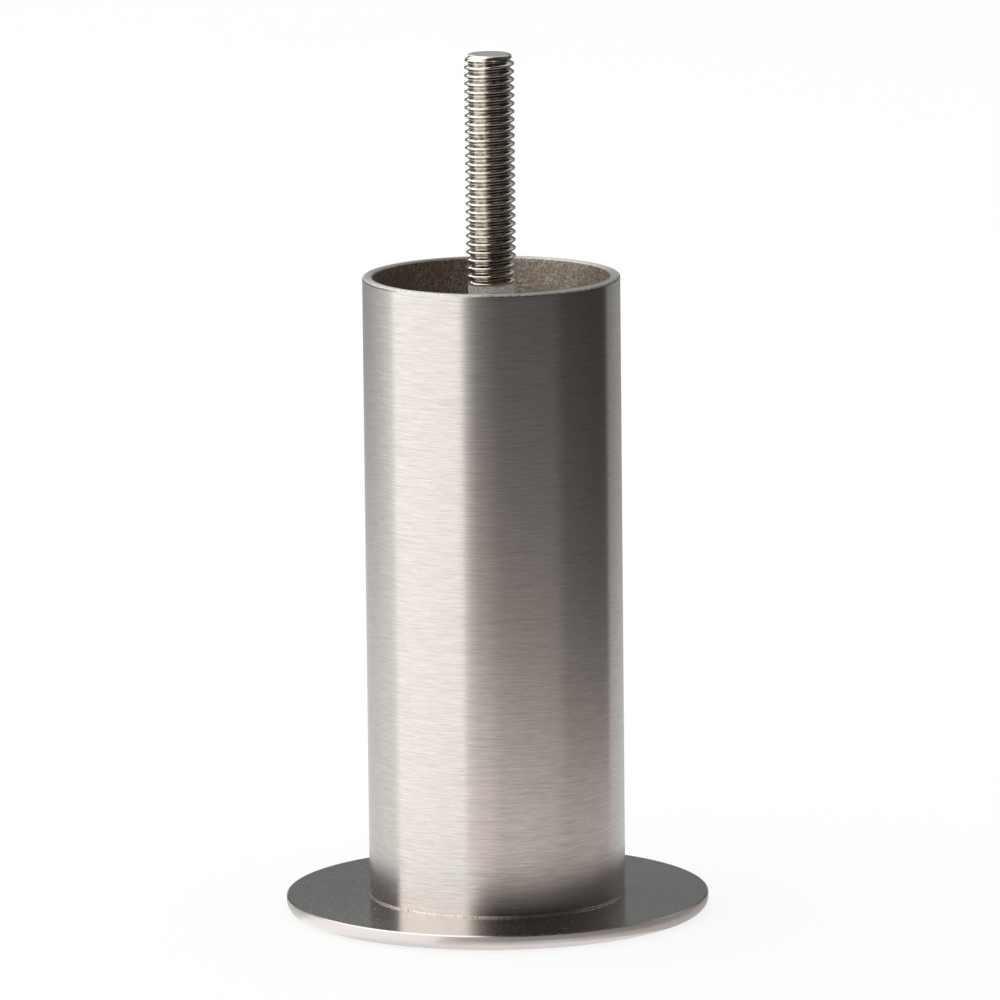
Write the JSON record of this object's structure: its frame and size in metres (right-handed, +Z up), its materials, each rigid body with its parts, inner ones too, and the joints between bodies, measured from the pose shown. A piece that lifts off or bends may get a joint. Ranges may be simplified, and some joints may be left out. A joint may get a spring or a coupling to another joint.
{
  "type": "furniture leg",
  "caption": "Round brushed-steel tube leg on a wide flat disc foot, with a threaded stud standing out of its open top to screw into a piece of furniture.",
  "frame": {"origin": "centre of the foot's underside, on the leg's axis", "axes": "+Z up the leg, from the foot to the stud's tip; +X and +Y lie on the floor"},
  "size_m": [0.066, 0.066, 0.1346],
  "materials": {
    "tube_steel": "fine brushing around the tube",
    "foot_steel": "fine satin brushing",
    "seam_metal": "straw heat tint on a fine bead",
    "bolt_plating": "bright warm plating",
    "raw_steel": "dull bare steel",
    "weld_metal": "dark rippled weld"
  },
  "bodies": {
    "root": {"leg_tube": "tube_steel", "foot_plate": "foot_steel", "foot_seam": "seam_metal", "stud_bolt": "bolt_plating", "carrier_disc": "raw_steel", "carrier_tacks": "weld_metal", "head_tacks": "weld_metal"}
  },
  "joints": []
}
